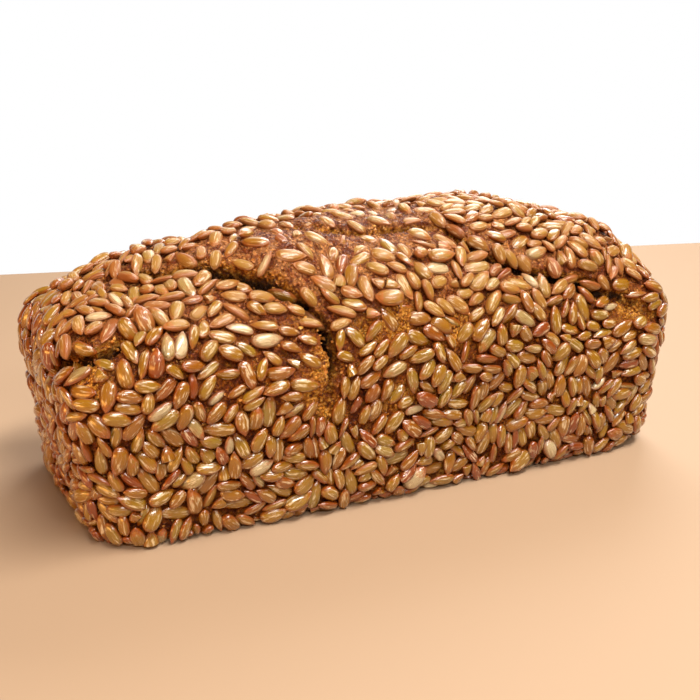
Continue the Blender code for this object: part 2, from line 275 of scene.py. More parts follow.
# %% Cracks
CRACKS = (
    ((-121, -6, 53, 1.5, 0.0, 0.0, 0.0), (-118, -18, 57, 2.6, 4.5, 1.4, 0.0),
     (-114, -33, 62, 3.2, 7.0, 2.4, 0.4), (-108, -38, 66, 3.4, 7.5, 2.8, 0.6),
     (-98, -38, 70, 2.8, 5.5, 2.0, 0.4), (-84, -38, 72, 2.2, 2.6, 1.2, 0.0),
     (-72, -39, 72, 1.5, 0.0, 0.0, 0.0)),
    ((-98, 4, 80, 1.6, 0.0, 0.0, 0.0), (-88, -3, 83, 2.4, 3.5, 1.6, 0.0),
     (-77, -12, 84.5, 2.8, 5.0, 2.4, 0.0), (-65, -19, 85.5, 3.4, 8.0, 3.6, 0.0),
     (-55, -27, 84, 4.2, 12.0, 4.4, 0.0), (-45, -34.5, 80, 3.8, 11.0, 3.6, 0.8),
     (-37, -40, 75, 2.8, 9.5, 2.0, 1.8), (-32.5, -44.5, 69, 2.4, 10.0, 1.0, 2.4),
     (-32, -48, 62, 2.4, 10.0, 0.6, 2.6), (-32, -50, 54, 2.2, 7.5, 0.0, 2.2),
     (-33, -51, 46, 2.6, 3.0, 0.0, 1.2), (-36, -50, 37, 2.6, 0.0, 0.0, 0.0)),
    ((22, -15, 93, 1.5, 0.0, 0.0, 0.0), (27, -22, 92, 2.2, 2.6, 1.8, 0.0),
     (31, -29, 88, 2.6, 4.0, 2.6, 0.0), (37, -35, 83, 2.6, 4.5, 2.6, 0.0),
     (46, -38.5, 79.5, 2.8, 5.5, 2.4, 0.0), (57, -41, 76, 2.8, 5.0, 2.2, 0.0),
     (70, -43, 71.5, 3.0, 6.0, 2.4, 0.0), (84, -45, 66, 3.4, 4.5, 2.2, 0.0),
     (96, -47, 61, 3.8, 3.5, 1.6, 0.0), (106, -46, 54, 3.6, 2.2, 0.8, 0.0),
     (113, -39, 45, 3.0, 0.0, 0.0, 0.0)),
    ((-46, -8, 88, 1.6, 0.0, 0.0, 0.0), (-30, -12, 90, 2.6, 2.0, 1.0, 0.0),
     (-12, -16, 91.5, 3.0, 2.6, 1.4, 0.0), (6, -19, 92, 3.0, 3.2, 1.8, 0.0),
     (17, -19, 92, 2.6, 2.8, 1.6, 0.0), (28, -20, 92, 1.6, 0.0, 0.0, 0.0)),
    ((84, 36, 74, 1.6, 0.0, 0.0, 0.0), (66, 40, 75, 2.6, 3.0, 0.0, 1.6),
     (44, 41, 77, 3.0, 5.0, 0.0, 2.4), (22, 43, 75, 3.0, 6.0, 0.0, 2.6),
     (2, 42, 77, 2.8, 5.0, 0.0, 2.2), (-20, 44, 72, 2.8, 4.5, 0.0, 2.0),
     (-38, 45, 67, 2.4, 3.0, 0.0, 1.2), (-50, 46, 61, 1.6, 0.0, 0.0, 0.0)),
    ((112, 30, 62, 1.6, 0.0, 0.0, 0.0), (115, 18, 65, 2.6, 3.5, 0.0, 1.6),
     (115, 4, 67, 3.0, 5.0, 0.0, 2.2), (116, -10, 64, 2.6, 3.5, 0.0, 1.4),
     (116, -20, 60, 1.6, 0.0, 0.0, 0.0)),
)
CRACK_LINES = [np.array(crack) / 1000 for crack in CRACKS]


def along_crack(p, stations):
    best = np.full(len(p), np.inf)
    nearest, direction = np.zeros_like(p), np.zeros_like(p)
    values = np.zeros((len(p), stations.shape[1] - 3))
    for here, there in zip(stations[:-1], stations[1:]):
        way = there[:3] - here[:3]
        t = np.clip((p - here[:3]) @ way / (way @ way), 0, 1)
        foot = here[:3] + t[:, None] * way
        gap = np.linalg.norm(p - foot, axis=1)
        closer = gap < best
        best = np.where(closer, gap, best)
        nearest[closer], direction[closer] = foot[closer], way / np.linalg.norm(way)
        values[closer] = (here[3:] + t[:, None] * (there[3:] - here[3:]))[closer]
    return nearest, direction, best, values


def tear(p, normals, stations, deeper=1.0):
    """How far one crack moves each point, and how torn the crust is there, from 0 to 1."""
    nearest, direction, gap, values = along_crack(p, stations)
    half_width, depth, left_lift, right_lift = values.T
    left = np.einsum("ij,ij->i", np.cross(normals, direction), p - nearest) > 0
    lift = np.where(left, left_lift, right_lift)
    other = np.where(left, right_lift, left_lift)
    steeper = 1 - 0.4 * np.clip((other - lift) / 0.0015, 0, 1)
    across = gap / np.maximum(half_width * steeper, 1e-4)
    groove = 1 / (1 + across**4)
    height = lift * (1 - groove) * np.exp(-gap / 0.017) - deeper * depth * groove
    towards = (nearest - p) / np.maximum(gap, 1e-6)[:, None]
    towards = towards - normals * np.einsum("ij,ij->i", towards, normals)[:, None]
    edge = np.exp(-((across - 1.6) ** 2))
    shift = normals * height[:, None] + towards * (edge * lift * 0.9)[:, None]
    return shift, groove * np.clip(depth / 0.010, 0, 1)


print("cracks:", len(CRACK_LINES), "stations:", sum(len(line) for line in CRACK_LINES))

# %% [markdown]
# ## Dough is never quite even
# Slow swells a few centimetres across keep the walls from looking machined. Below them the shape
# is the same as the solid's, so the two agree. `finish` takes points of the plain loaf to the baked
# one, and returns how torn it is at each of them. The crust asks it to let the cracks wander a
# little and to dig them deeper, so that their walls look ragged and go dark inside.

# %% Swells and the finished surface
SWELLS = (
    (0.0012, (9.0, 12.0, 8.0), 0.4),
    (0.0010, (-14.0, 9.0, 17.0), 2.1),
    (0.0006, (23.0, -31.0, 19.0), 4.4),
    (0.0003, (-41.0, -37.0, 29.0), 1.3),
)


def finish(plain, wander=0.0, deeper=(1.0,) * len(CRACKS)):
    normals = crust_normals(plain)
    swell = sum(
        height * np.sin(2 * math.pi * (plain @ np.array(waves)) + phase)
        for height, waves, phase in SWELLS
    )
    on_top = smooth_step((plain[:, 2] - 0.045) / 0.02)
    shift = normals * (swell * (0.45 + 0.55 * on_top))[:, None]
    torn = np.zeros(len(plain))
    for line, more in zip(CRACK_LINES, deeper):
        moved, here = tear(plain + wander, normals, line, more)
        shift = shift + moved
        torn = np.maximum(torn, here)
    return plain + shift * smooth_step(plain[:, 2] / 0.007)[:, None], torn


def finished_normals(plain, step=0.0012):
    """Outward directions of the baked surface, from its slope over a kernel's width."""
    normals = crust_normals(plain)
    level = np.cross(normals, np.where(np.abs(normals[:, :1]) > 0.8, [[0, 1, 0]], [[1, 0, 0]]))
    level = level / np.linalg.norm(level, axis=1)[:, None]
    other = np.cross(normals, level)
    one = finish(plain + level * step)[0] - finish(plain - level * step)[0]
    two = finish(plain + other * step)[0] - finish(plain - other * step)[0]
    out = np.cross(one, two)
    return out / np.linalg.norm(out, axis=1)[:, None]


print("swells:", [1000 * swell[0] for swell in SWELLS], "mm")

# %% [markdown]
# ## Where the crust lies bare
# Kernels cover most of the loaf, but rub off or slide apart where the dough stretched: on the top
# middle, beside the cracks and in a few patches of the front. In some of these the skin is gone
# too, and golden crumb shows. A painted mask would need an image, so each patch is a place and a
# radius in millimetres, and a bare one has a strength as well. Elsewhere kernels are packed tighter
# on the walls, where the tin pressed them in, than on the crown.

# %% Kernel cover
BARE_PATCHES = (
    (-8, -17, 91, 20, 0.55), (14, -18, 92, 17, 0.55), (-32, -17, 89, 15, 0.45),
    (2, -3, 94, 24, 0.30), (-6, -50, 38, 7, 0.55), (18, -48, 60, 7, 0.50),
    (-111, -42, 58, 8, 0.55), (-39, -51, 46, 8, 0.75), (-36, -50, 54, 6, 0.6),
    (96, -46, 60, 9, 0.60), (-45, -25, 86, 8, 0.45), (-61, -14, 88, 9, 0.45),
    (-23, -30, 85, 7, 0.35), (46, -43, 71, 7, 0.35), (-6, -47, 64, 9, 0.60),
    (40, 30, 86, 22, 0.35), (-60, 26, 82, 16, 0.35), (60, 50, 40, 8, 0.45),
    (-30, 50, 30, 8, 0.45), (116, 5, 40, 7, 0.45), (-116, 10, 35, 7, 0.45),
)
OPEN_CRUMB = (
    (-39, -51, 46, 7), (-36, -50, 55, 6), (-33, -50, 38, 6), (-6, -50, 38, 6), (18, -48, 60, 7),
    (-111, -42, 58, 7), (95, -46, 60, 8), (63, -49, 31, 5), (-78, -50, 30, 5), (13, -47, 9, 5),
    (-6, -47, 64, 8), (-17, -47, 64, 5), (46, -43, 71, 5), (60, 50, 40, 7), (-30, 50, 30, 7),
    (116, 5, 40, 6),
)
LOW_COVER, WALL_COVER, CROWN_COVER, BASE_COVER = 1.24, 0.96, 0.98, 0.72
CROWN_FROM, CROWN_OVER = 0.062, 0.016
LOW_BELOW, LOW_OVER = 0.038, 0.020


def near_patch(plain, x, y, z, radius):
    """1 in the middle of a patch, and close to 0 outside its radius."""
    gap = np.linalg.norm(plain * 1000 - (x, y, z), axis=1)
    return np.exp(-((gap / radius) ** 4))


def on_crown(plain):
    return smooth_step((plain[:, 2] - CROWN_FROM) / CROWN_OVER)


def cover(plain):
    """The share of the crust that kernels hide, past 1 where they overlap."""
    low = smooth_step((LOW_BELOW - plain[:, 2]) / LOW_OVER)
    share = WALL_COVER + (CROWN_COVER - WALL_COVER) * on_crown(plain) + (LOW_COVER - WALL_COVER) * low
    share = np.where(plain[:, 2] < 0.002, BASE_COVER, share)
    for x, y, z, radius, strength in BARE_PATCHES:
        share = share * (1 - strength * near_patch(plain, x, y, z, radius))
    return share


def bareness(plain):
    return smooth_step((0.95 - cover(plain)) / 0.5)


def crumbly(plain):
    """1 where the skin is gone and open crumb shows."""
    share = np.zeros(len(plain))
    for patch in OPEN_CRUMB:
        share = np.maximum(share, near_patch(plain, *patch))
    return share


print("cover in the bare middle: %.2f" % cover(np.array([[-0.008, -0.017, 0.091]]))[0])

# %% [markdown]
# ## The large kernels
# The largest kernels are part of the solid too, and here they must lie at the same places. A list
# of 250 places would do, but it would be long and tell nothing. So the solid's own draw is made
# again from its seed: a random place is kept when it is clear of the cracks and of those before it.

# %% Large kernels
LARGE_COUNT, LARGE_SPACING = 250, 0.0130
LARGE_SEED, LARGE_TRIES = 11, 30000
LARGE_LOWEST, LARGE_OFF_CRACK = 0.0055, 0.0055


def random_on_block(draw):
    length, width, height = BLOCK
    areas = (width * height, width * height, length * height, length * height, length * width)
    side = draw.choices(range(5), weights=areas)[0]
    a, b = draw.uniform(-1, 1), draw.uniform(-1, 1)
    return ((-1, a, b), (1, a, b), (a, -1, b), (a, 1, b), (a, b, 1))[side]


large_draw = random.Random(LARGE_SEED)
large_unit = np.array([random_on_block(large_draw) for _ in range(LARGE_TRIES)])
large_turns = np.array([large_draw.uniform(0, 2 * math.pi) for _ in range(LARGE_TRIES)])
large_plain = pull_to_crust(large_unit)
large_places = finish(large_plain)[0]
clear = large_places[:, 2] > LARGE_LOWEST
for line in CRACK_LINES:
    clear &= along_crack(large_places, line)[2] > LARGE_OFF_CRACK
large = []
for i in np.flatnonzero(clear):
    if len(large) == LARGE_COUNT:
        break
    taken = large_places[large]
    if large and np.linalg.norm(taken - large_places[i], axis=1).min() < LARGE_SPACING:
        continue
    large.append(i)
print("large kernels:", len(large))

# %% [markdown]
# ## The small kernels between them
# Kernels stick to dough wherever there is room for one. A grid of them would show its rows, and
# pure chance would leave clumps and holes. So many random places are tried in turn, and one is kept
# when it is clear of the cracks and far enough from all kept before, for the cover wanted there.

# %% Small kernels
SMALL_TRIES = 90000
KERNEL_AREA = 29e-6
CLOSENESS = 0.835
THINNEST_COVER = 0.05
SMALL_OFF_CRACK = 0.0026

numbers = np.random.default_rng(5)
side_areas = np.array([BLOCK[1] * BLOCK[2]] * 2 + [BLOCK[0] * BLOCK[2]] * 2 + [BLOCK[0] * BLOCK[1]] * 2)


def scatter_on_block(tries):
    """Random points all over the block, spread evenly over its six sides."""
    sides = numbers.choice(6, size=tries, p=side_areas / side_areas.sum())
    unit = numbers.uniform(-1, 1, (tries, 3))
    unit[np.arange(tries), sides // 2] = np.where(sides % 2 == 0, -1.0, 1.0)
    return unit


small_plain = pull_to_crust(scatter_on_block(SMALL_TRIES))
apart = CLOSENESS * np.sqrt(KERNEL_AREA / np.maximum(cover(small_plain), THINNEST_COVER))
crack_room = np.full(SMALL_TRIES, np.inf)
for line in CRACK_LINES:
    _, _, gap, values = along_crack(small_plain, line)
    crack_room = np.minimum(crack_room, gap - 0.5 * values[:, 0])
count = len(large)
placed = np.zeros((count + SMALL_TRIES, 3))
placed[:count] = large_plain[large]
for i in np.flatnonzero(crack_room > SMALL_OFF_CRACK):
    if np.linalg.norm(placed[:count] - small_plain[i], axis=1).min() > apart[i]:
        placed[count] = small_plain[i]
        count += 1
plain = placed[:count].copy()
is_large = np.arange(count) < len(large)
print("all kernels:", count)

# %% [markdown]
# ## Directions and sizes
# Kernels fall any way round, so each small one gets a random direction, and a large one lies as in
# the solid. They are 6 to 10 mm long and about half as wide. Some stand on edge and look slim, and
# a few are broken. A few copies of one size would look stamped, so each size is drawn from a bell
# curve, cut off at both ends to leave out dots and giants.

# %% Directions and sizes
WHOLE, SLIM, BROKEN = 0, 1, 2
SHARES = (0.77, 0.14, 0.09)
MORE_SLIM, MORE_SLIM_BELOW = 0.12, 0.032
LARGE_LONG, LARGE_WIDE, SLIM_WIDE = 10.0, 4.8, 0.88
LARGE_RULE_SEED = 23


def unit_rows(v):
    return v / np.maximum(np.linalg.norm(v, axis=1), 1e-12)[:, None]


def dot_rows(a, b):
    return np.einsum("ij,ij->i", a, b)


def bell(middle, spread, low, high):
    """A number for each kernel, mostly near the middle and never below low or above high."""
    return np.clip(numbers.normal(middle, spread, count), low, high)


large_out = finished_normals(plain[:len(large)])
large_lie = np.array([
    Vector(out).to_track_quat("Z", "Y").to_matrix() @ Vector((math.cos(turn), math.sin(turn), 0))
    for out, turn in zip(large_out, large_turns[large])
])
lie = unit_rows(numbers.normal(size=(count, 3)))
lie[:len(large)] = large_lie

large_rule = random.Random(LARGE_RULE_SEED)
large_size, large_tilt = [], []
for _ in large:
    large_size.append(large_rule.uniform(0.90, 1.10))
    large_tilt.append(large_rule.uniform(-0.10, 0.10))

kind = numbers.choice(3, size=count, p=SHARES)
kind[(numbers.random(count) < MORE_SLIM) & (plain[:, 2] < MORE_SLIM_BELOW)] = SLIM
kind[:len(large)] = WHOLE
long_mm = bell(8.4, 0.90, 6.2, 10.2)
wide_mm = long_mm * bell(0.515, 0.060, 0.40, 0.66)
thick_mm = wide_mm * bell(0.65, 0.06, 0.52, 0.78)
long_mm[:len(large)] = LARGE_LONG * np.array(large_size)
wide_mm[:len(large)] = LARGE_WIDE * np.array(large_size)
wide_mm[kind == SLIM] *= SLIM_WIDE
print("kernels are %.1f mm long and %.1f mm wide on average" % (long_mm.mean(), wide_mm.mean()))

# %% [markdown]
# ## How near two kernels come
# To tell whether two kernels overlap, each is taken as a short rod with round ends. A test of their
# meshes would be exact but slow, while the nearest places of two rods are a short formula, which
# numpy works out for all pairs of neighbours at once.

# %% Rods
NEIGHBOURS_WITHIN = 0.0125


def neighbours(plain):
    """The pairs of kernels whose middles are close, each pair once."""
    gaps = np.linalg.norm(plain[:, None] - plain[None], axis=2)
    return np.nonzero(np.triu(gaps < NEIGHBOURS_WITHIN, 1))


def nearest_places(plain, lie, reach, one, two):
    """Where along each pair of rods they come closest, and the way between those places."""
    apart = plain[one] - plain[two]
    across = dot_rows(lie[one], lie[two])
    a, b = dot_rows(lie[one], apart), dot_rows(lie[two], apart)
    s = np.clip((across * b - a) / np.maximum(1 - across**2, 1e-3), -reach[one], reach[one])
    t = np.clip(across * s + b, -reach[two], reach[two])
    s = np.clip(across * t - a, -reach[one], reach[one])
    link = apart + lie[one] * s[:, None] - lie[two] * t[:, None]
    return s, t, link, np.maximum(np.linalg.norm(link, axis=1), 1e-6)


print("pairs of neighbours:", len(neighbours(plain)[0]))

# %% [markdown]
# ## Letting the kernels settle
# Kernels under dough roll and slide until they lie side by side, which is why whole groups of them
# run the same way. A physics run would take minutes. Here each pair of rods that overlaps is pushed
# apart and turned a little, many times over. Neighbours also turn to lie alike, and all are kept on
# the loaf and out of the cracks. The large ones stay where they are.

# %% Settle the kernels
ROUNDS, LOOK_AGAIN_EVERY = 90, 10
PUSH, CRACK_PUSH, TURN = 0.45, 0.35, 0.8
ALIGN, ALIGN_WITHIN = 0.012, 0.0062


def push_apart(plain, lie, reach, radius, moves, one, two):
    """A step and a spin for each kernel, and how far each pair of neighbours overlaps."""
    s, t, link, gap = nearest_places(plain, lie, reach, one, two)
    press = np.maximum(radius[one] + radius[two] - gap, 0)
    push = link / gap[:, None] * press[:, None]
    share = moves[one] + moves[two]
    share = np.where(share > 0, share, 1)
    step, spin = np.zeros_like(plain), np.zeros_like(plain)
    for who, way, arm in ((one, 1, s), (two, -1, t)):
        force = push * (way * PUSH * moves[who] / share * 2)[:, None]
        np.add.at(step, who, force * 0.5)
        np.add.at(spin, who, force * (arm / (reach[who] ** 2 + radius[who] ** 2))[:, None])
    alike = dot_rows(lie[one], lie[two]) * np.where(gap < ALIGN_WITHIN, ALIGN, 0.0)
    np.add.at(spin, one, lie[two] * (alike * moves[one])[:, None])
    np.add.at(spin, two, lie[one] * (alike * moves[two])[:, None])
    return step, spin, press


def keep_off_cracks(plain, lie, reach, radius, moves, step, spin):
    """Adds to the step and spin of each kernel whose middle or ends reach into a crack."""
    for line in CRACK_LINES:
        for along in (-0.8, 0.0, 0.8):
            arm = along * reach
            place = plain + lie * arm[:, None]
            near, _, off, values = along_crack(place, line)
            room = 0.6 * values[:, 0] + 0.0024 * np.minimum(values[:, 1] / 0.009, 1)
            force = (place - near) / np.maximum(off, 1e-6)[:, None]
            force = force * (np.maximum(room - off, 0) * moves * CRACK_PUSH)[:, None]
            step += force
            spin += force * (arm / (reach**2 + radius**2))[:, None]


def settle(plain, lie, reach, radius, fixed):
    moves = np.where(fixed, 0.0, 1.0)
    for turn in range(ROUNDS):
        out = crust_normals(plain)
        lie = unit_rows(lie - out * dot_rows(lie, out)[:, None])
        if turn % LOOK_AGAIN_EVERY == 0:
            one, two = neighbours(plain)
        step, spin, press = push_apart(plain, lie, reach, radius, moves, one, two)
        keep_off_cracks(plain, lie, reach, radius, moves, step, spin)
        plain = plain + step
        lie = unit_rows(lie + spin * TURN)
        slope = np.linalg.norm(crust_slopes(plain), axis=1) / (2 * SLOPE_STEP)
        plain = plain - out * (outside(plain) / slope)[:, None]
    return plain, lie, press


squeeze = 0.80 - 0.08 * smooth_step((0.034 - plain[:, 2]) / 0.020)
radius = wide_mm / 2000 * squeeze
reach = long_mm / 2000 - radius
reach[kind == BROKEN] *= 0.45
plain, lie, press = settle(plain, lie, reach, radius, is_large)
print("kernels still overlap by %.2f mm on average" % (1000 * press.mean()))

# %% [markdown]
# ## The shape of a kernel
# A hulled sunflower kernel is a flat drop: round at one end, pointed at the other, thickest near
# the round end, with a faint crease or ridges along it. No two are alike, so a sphere with its
# poles at the tips is shaped by a few rules into a drawer of different kernels. Some are cut
# short, as kernels break when they are hulled.

# %% A drawer of kernels
AROUND, RINGS = 12, 10
WHOLE_SHAPES, BROKEN_SHAPES = 22, 8

sphere = bmesh.new()
bmesh.ops.create_uvsphere(sphere, u_segments=AROUND, v_segments=RINGS, radius=1)
sphere_points = np.array([(v.co.z, v.co.y, -v.co.x) for v in sphere.verts])
sphere_faces = [[v.index for v in face.verts] for face in sphere.faces]
sphere.free()


def shape_kernel(broken):
    """One kernel, 2 long, wide and thick: x runs to its tip, z out of its flat sides."""
    t = sphere_points[:, 0]
    girth = np.sqrt(np.maximum(1 - t**2, 0))
    c = sphere_points[:, 1] / np.maximum(girth, 1e-6)
    s = sphere_points[:, 2] / np.maximum(girth, 1e-6)
    blunt = np.maximum(1 - np.abs(t) ** numbers.uniform(2.3, 3.2), 0) ** 0.5
    pointed = np.maximum(1 - np.abs(t) ** numbers.uniform(1.9, 3.0), 0)
    pointed = pointed ** numbers.uniform(0.50, 0.68)
    pointed = pointed * (1 - numbers.uniform(0.15, 0.60) * np.exp(-(((t - 1) / 0.13) ** 2)))
    wide = np.where(t < 0, blunt, pointed)
    thick = np.where(t < 0, blunt, pointed**0.9) * (1 - 0.12 * t)
    squareness = numbers.uniform(0.76, 1.0)
    ridges = 0.07 * np.cos(numbers.uniform(5, 8) * c + numbers.uniform(0, 6)) * girth
    crease_depth = numbers.choice([0.0, 0.0, 0.16])
    crease = crease_depth * np.exp(-(((c - numbers.uniform(-0.2, 0.2)) / 0.3) ** 2))
    c = np.sign(c) * np.abs(c) ** squareness
    s = np.sign(s) * np.abs(s) ** squareness
    x = t + numbers.uniform(0.04, 0.26) * np.maximum(t, 0) ** 7
    y = wide * c * (1 - numbers.uniform(0.0, 0.12) * t) + numbers.uniform(-0.20, 0.20) * (t**2 - 0.33)
    z = thick * (s + np.sign(s) * (ridges - crease * girth))
    z = z - numbers.uniform(0.0, 0.25) * t**2
    if broken:
        cut = numbers.uniform(-0.25, 0.15)
        rough = 0.07 * np.cos(9 * c + 4 * s)
        x = np.where(x < cut + rough, cut + rough + 0.05 * (x - cut), x) - (1 + cut) / 2
    return np.stack([x, y, z], axis=1)


whole_shapes = [shape_kernel(False) for _ in range(WHOLE_SHAPES)]
broken_shapes = [shape_kernel(True) for _ in range(BROKEN_SHAPES)]
drawer = np.array(whole_shapes + broken_shapes)
which_broken = WHOLE_SHAPES + numbers.integers(0, BROKEN_SHAPES, count)
which = np.where(kind == BROKEN, which_broken, numbers.integers(0, WHOLE_SHAPES, count))
print("shapes in the drawer:", len(drawer), "points each:", len(sphere_points))

# %% [markdown]
# ## Tipping the kernels
# On the walls the tin pressed the kernels level. On the crown they lie as they fell, and a slim one
# stands on its edge. Laying all of them flat would look like tiles, so each gets a roll about its
# long way and a pitch of its ends, larger where the kernels are loose.

# %% Roll and pitch
places = finish(plain)[0]
out = finished_normals(plain)
lie = unit_rows(lie - out * dot_rows(lie, out)[:, None])
side = np.cross(out, lie)
loose = smooth_step((plain[:, 2] - 0.055) / 0.02)
loose[plain[:, 2] < 0.002] = 0
roll = numbers.normal(0, 1, count) * np.radians(8 + 5 * loose)
edge_on = kind == SLIM
stood_up = np.radians(numbers.uniform(25, 55, edge_on.sum()))
roll[edge_on] = stood_up * numbers.choice([-1, 1], edge_on.sum())
roll[:len(large)] = 0
pitch = numbers.normal(0, 1, count) * np.radians(3.5 + 4 * loose)
pitch[:len(large)] = large_tilt
print("kernels on edge:", int(edge_on.sum()))

# %% [markdown]
# ## Kernels that ride on a neighbour
# Where kernels crowd, one lies partly on the next, like a shingle, with one side or end lifted.
# Real contact would need a simulation. Here chance says which of two that overlap lies on top, and
# that one is raised, pitched and rolled by how far and on which side they overlap.

# %% Ride on neighbours
FULL_WIDTH = 0.94
CLIMB, HIGHEST_CLIMB, HIGHEST_RIDE = 1.3, 0.0016, 0.0011
MOST_PITCH, MOST_ROLL = 0.24, 0.45

one, two = neighbours(plain)
s, t, link, gap = nearest_places(plain, lie, reach, one, two)
overlap = np.maximum((wide_mm[one] + wide_mm[two]) / 2000 * FULL_WIDTH - gap, 0)
rank = numbers.random(count)
rank[:len(large)] = 0
one_on_top = rank[one] > rank[two]
upper = np.where(one_on_top, one, two)
arm = np.where(one_on_top, s, t) / np.maximum(reach[upper], 1e-4)
towards = np.where(one_on_top, -1, 1)[:, None] * link / gap[:, None]
climb = np.minimum(overlap * CLIMB, HIGHEST_CLIMB)
ride_up, tip_up, turn_up = np.zeros(count), np.zeros(count), np.zeros(count)
np.add.at(ride_up, upper, 0.45 * climb)
np.add.at(tip_up, upper, climb * arm / (2 * reach[upper]))
np.add.at(turn_up, upper, -climb * dot_rows(side[upper], towards) / (0.7e-3 * wide_mm[upper]))
free = rank > 0
ride_up = np.minimum(ride_up, HIGHEST_RIDE) * free
pitch = pitch + np.clip(tip_up, -MOST_PITCH, MOST_PITCH) * free
roll = roll + np.clip(turn_up, -MOST_ROLL, MOST_ROLL) * (free & ~edge_on)
print("kernels riding on another:", int((ride_up > 0).sum()))

# %% [markdown]
# ## Bedding the kernels in
# A kernel is held because the dough rose a little around it. It could be parented to the crust, but
# a centre on the baked surface, moved out by a fraction of a millimetre, gives every point of it at
# once. Kernels under the base are only pressed flat. None may reach past the solid's box, so one
# that does is pushed back in.

# %% Place every kernel
KEEP_INSIDE = 0.00005
BASE_UP = 0.0006

out_tipped = out * np.cos(roll)[:, None] + side * np.sin(roll)[:, None]
side_tipped = np.cross(out_tipped, lie)
lie_tipped = unit_rows(lie * np.cos(pitch)[:, None] + out_tipped * np.sin(pitch)[:, None])
out_tipped = np.cross(lie_tipped, side_tipped)
proud = -0.00015 + numbers.normal(0, 1, count) * (0.00012 + 0.00018 * loose)
under = plain[:, 2] < 0.0022
places[under, 2] += BASE_UP
proud = proud - 0.0005 * bareness(plain) - 0.0005 * edge_on + ride_up
centres = places + out * np.where(under, 0.0, proud)[:, None]

shape = drawer[which] * (np.stack([long_mm, wide_mm, thick_mm], axis=1) / 2000)[:, None, :]
points = centres[:, None, :] + (
    shape[:, :, 0:1] * lie_tipped[:, None, :]
    + shape[:, :, 1:2] * side_tipped[:, None, :]
    + shape[:, :, 2:3] * out_tipped[:, None, :]
)
box_low, box_high = np.array(solid_box[0]), np.array(solid_box[1])
past_high = np.maximum(points.max(axis=1) - (box_high - KEEP_INSIDE), 0)
past_low = np.maximum((box_low + KEEP_INSIDE) - points.min(axis=1), 0)
past_low[:, 2] = 0
points = points + (past_low - past_high)[:, None, :]
points[:, :, 2] = np.maximum(points[:, :, 2], KEEP_INSIDE)
print("kernels pushed back into the box:", int(((past_high + past_low) > 0).any(axis=1).sum()))

# %% [markdown]
# ## Crust squares
# The crust is the wrapped block again. Squares of 1.75 mm are enough under kernels, but the crumb
# that shows in a crack is finer. Halving all squares would cost a million of them, so they are
# halved once near the cracks and in the bare patches, and once more in the cracks themselves.

# %% Crust squares
CRUST_STEP = 0.00175
FINE_WITHIN, FINEST_WITHIN = 0.0065, 0.0048


def plain_places(block):
    """Every point of the block, pulled onto the plain loaf, and how far it is from a crack."""
    block.verts.ensure_lookup_table()
    block.verts.index_update()
    plain = pull_to_crust(np.array([v.co for v in block.verts]))
    return plain, np.min([along_crack(plain, line)[2] for line in CRACK_LINES], axis=0)


def halve(block, chosen):
    fine = [edge for edge in block.edges if all(chosen[vert.index] for vert in edge.verts)]
    bmesh.ops.subdivide_edges(block, edges=fine, cuts=1, use_grid_fill=True)


crust_block = bmesh.new()
bmesh.ops.create_cube(crust_block, size=2)
for axis in range(3):
    lengthwise = [
        edge for edge in crust_block.edges
        if abs(edge.verts[0].co[axis] - edge.verts[1].co[axis]) > 1
    ]
    cuts = round(2 * BLOCK[axis] / CRUST_STEP) - 1
    bmesh.ops.subdivide_edges(crust_block, edges=lengthwise, cuts=cuts, use_grid_fill=True)
crust_plain, off_crack = plain_places(crust_block)
bare_or_open = (cover(crust_plain) < 0.62) | (crumbly(crust_plain) > 0.2)
halve(crust_block, (off_crack < FINE_WITHIN) | bare_or_open)
halve(crust_block, plain_places(crust_block)[1] < FINEST_WITHIN)
bmesh.ops.recalc_face_normals(crust_block, faces=crust_block.faces)
crust_plain, off_crack = plain_places(crust_block)
print("crust squares:", len(crust_block.faces))

# %% [markdown]
# ## Tearing and roughening it
# A real crack has a ragged edge, and the crumb in it is full of pores, while the baked skin has
# only small lumps. A Displace modifier roughens all of a mesh alike, so each point is moved here by
# a sum of noises that depends on how torn the crust is there. Plain `noise` is used throughout,
# because `noise_vector` changes from run to run. The crust lies a little under the middle of the
# kernels, and less so where it is bare.

# %% Torn crust
CRACKS_DEEPER = (1.3, 1.5, 0.85, 1.1, 1.2, 1.2)
WANDER_WITHIN = 0.010
CRUST_SINKS = 0.0011
NOISES_APART = (Vector((0.0, 0.0, 0.0)), Vector((19.1, 33.4, 47.2)), Vector((74.7, 18.3, 62.9)))


def shift_noise(p):
    """A small shift that changes slowly from place to place, and is the same on every run."""
    return Vector([noise.noise(p + apart) for apart in NOISES_APART])


wander = np.zeros_like(crust_plain)
for i in np.flatnonzero(off_crack < WANDER_WITHIN):
    p = Vector(crust_plain[i]) * 1000
    wander[i] = 0.0015 * shift_noise(p * 0.17) + 0.0011 * shift_noise(p * 0.50)
crust_points, crust_torn = finish(crust_plain, wander, CRACKS_DEEPER)
for vert, point in zip(crust_block.verts, crust_points):
    vert.co = point
crust_data = bpy.data.meshes.new("crust")
crust_block.to_mesh(crust_data)
crust_block.free()
crust_out = np.zeros(3 * len(crust_data.vertices))
crust_data.vertices.foreach_get("normal", crust_out)
crust_out = crust_out.reshape(-1, 3)


def crumble(point, torn):
    """How far a point stands out, in metres: lumps everywhere, grains and pores where it is torn."""
    p = Vector(point) * 1000
    lumps = 0.42 * noise.noise(p * 0.28) + 0.38 * noise.noise(p * 0.62)
    pore = noise.voronoi(p * 0.42)[0][0]
    crumb = 0.8 * noise.noise(p * 0.8) + 0.55 * noise.noise(p * 1.5) - 1.6 * max(0.0, 0.42 - pore)
    return (lumps + torn * crumb) / 1000


